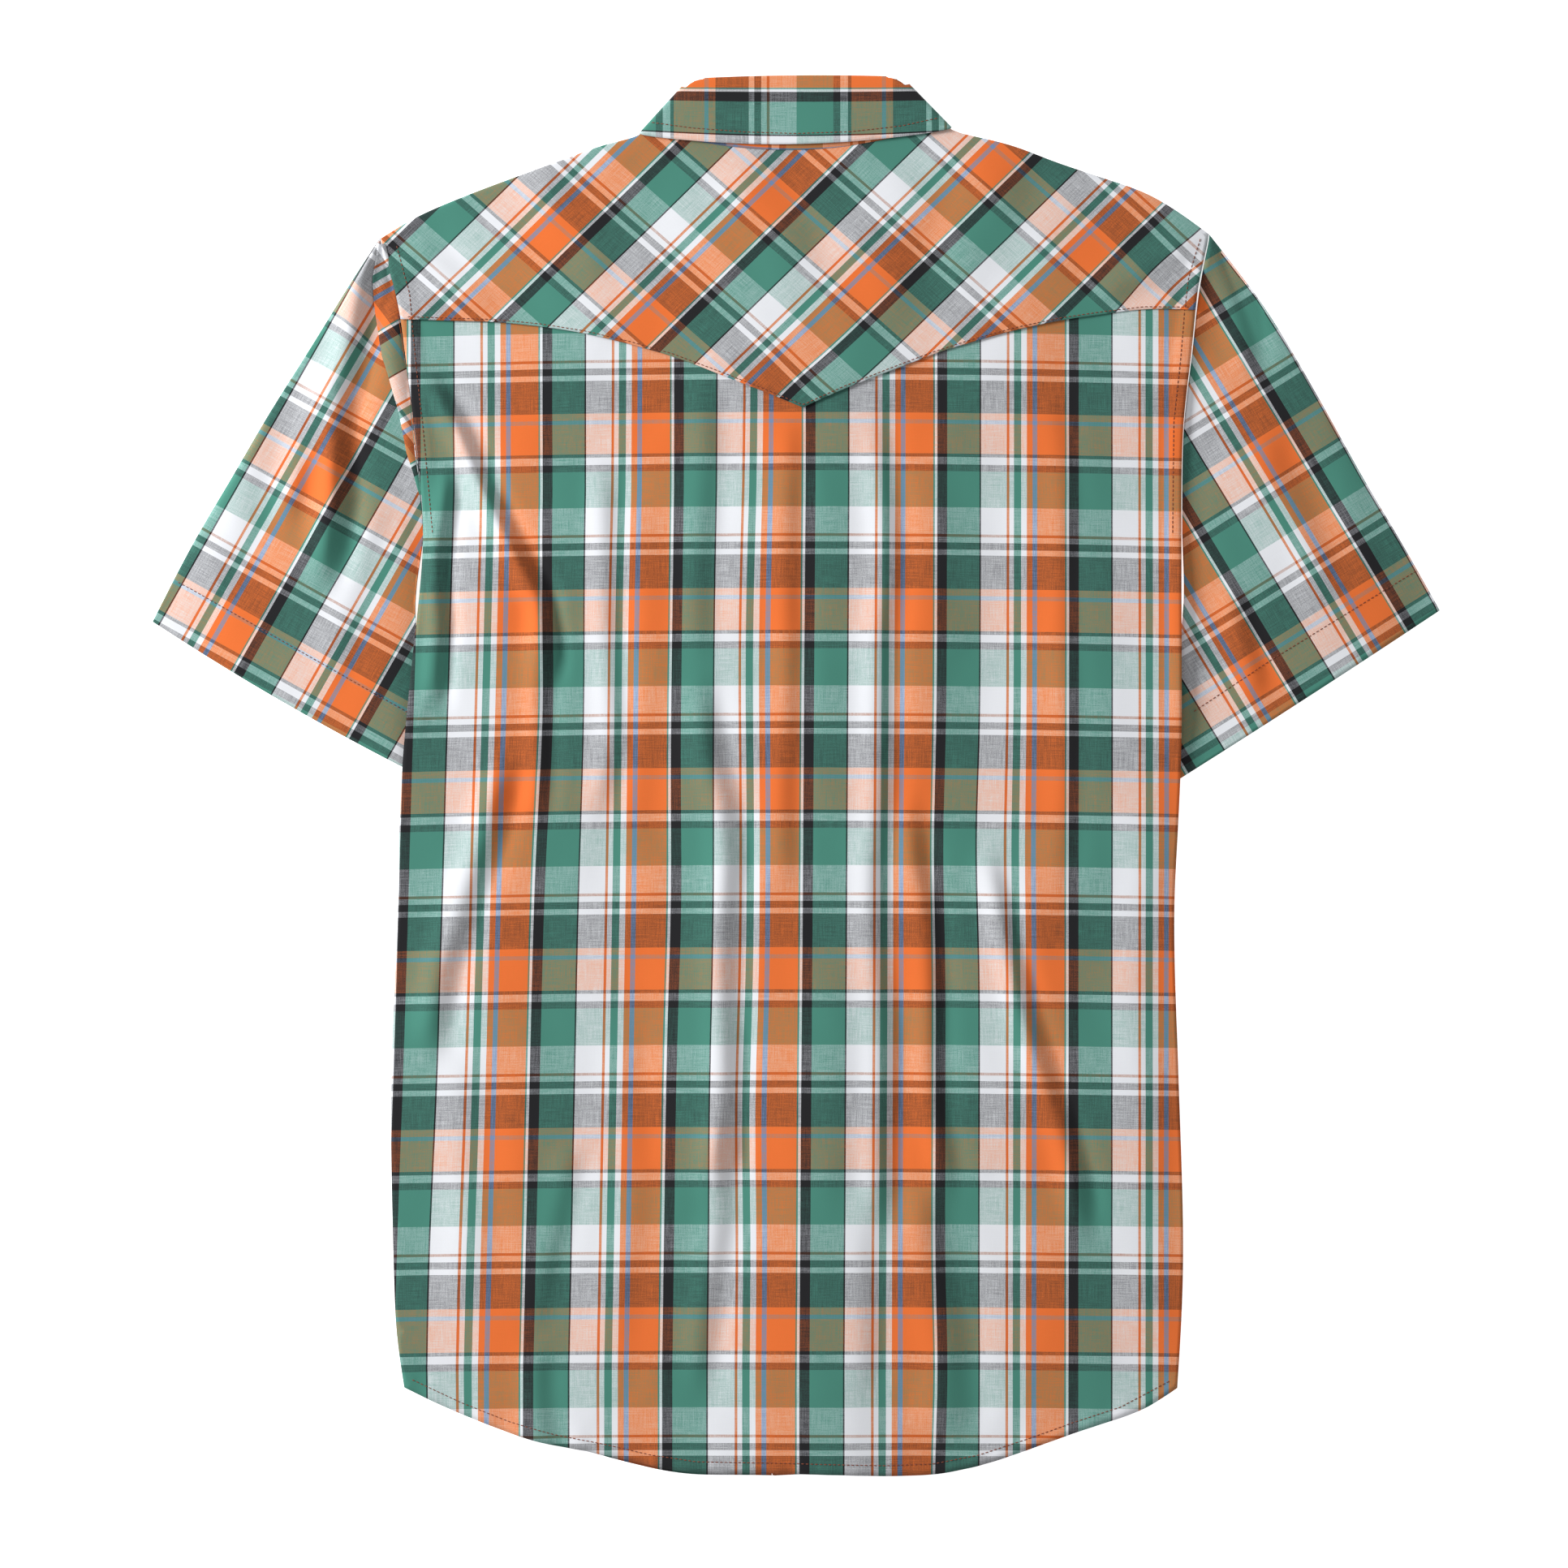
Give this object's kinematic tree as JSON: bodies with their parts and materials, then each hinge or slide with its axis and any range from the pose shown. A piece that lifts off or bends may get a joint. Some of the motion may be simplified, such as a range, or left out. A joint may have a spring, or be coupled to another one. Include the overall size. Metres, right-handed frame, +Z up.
{
  "type": "western snap shirt",
  "caption": "Short-sleeved plaid western snap shirt laid flat with its back up: bias-cut yoke with a single point, folded collar, curved hem, snap placket underneath.",
  "frame": {"origin": "centre of the bounding box in plan, on the surface the shirt lies on", "axes": "+Z up from the surface, +Y from the hem to the collar, +X to the right with the back of the shirt up"},
  "size_m": [0.739, 0.8046, 0.0087],
  "materials": {
    "shirting": "matt yarn-dyed cotton plaid",
    "snap": "pearl cap"
  },
  "bodies": {
    "root": {"back_panel": "shirting", "back_yoke": "shirting", "left_front": "shirting", "front_placket": "shirting", "right_front": "shirting", "collar_leaf": "shirting", "collar_stand": "shirting", "left_sleeve": "shirting", "right_sleeve": "shirting", "snap_cap_1": "snap", "snap_cap_2": "snap", "snap_cap_3": "snap", "snap_cap_4": "snap", "snap_cap_5": "snap", "snap_cap_6": "snap", "snap_cap_7": "snap"}
  },
  "joints": []
}
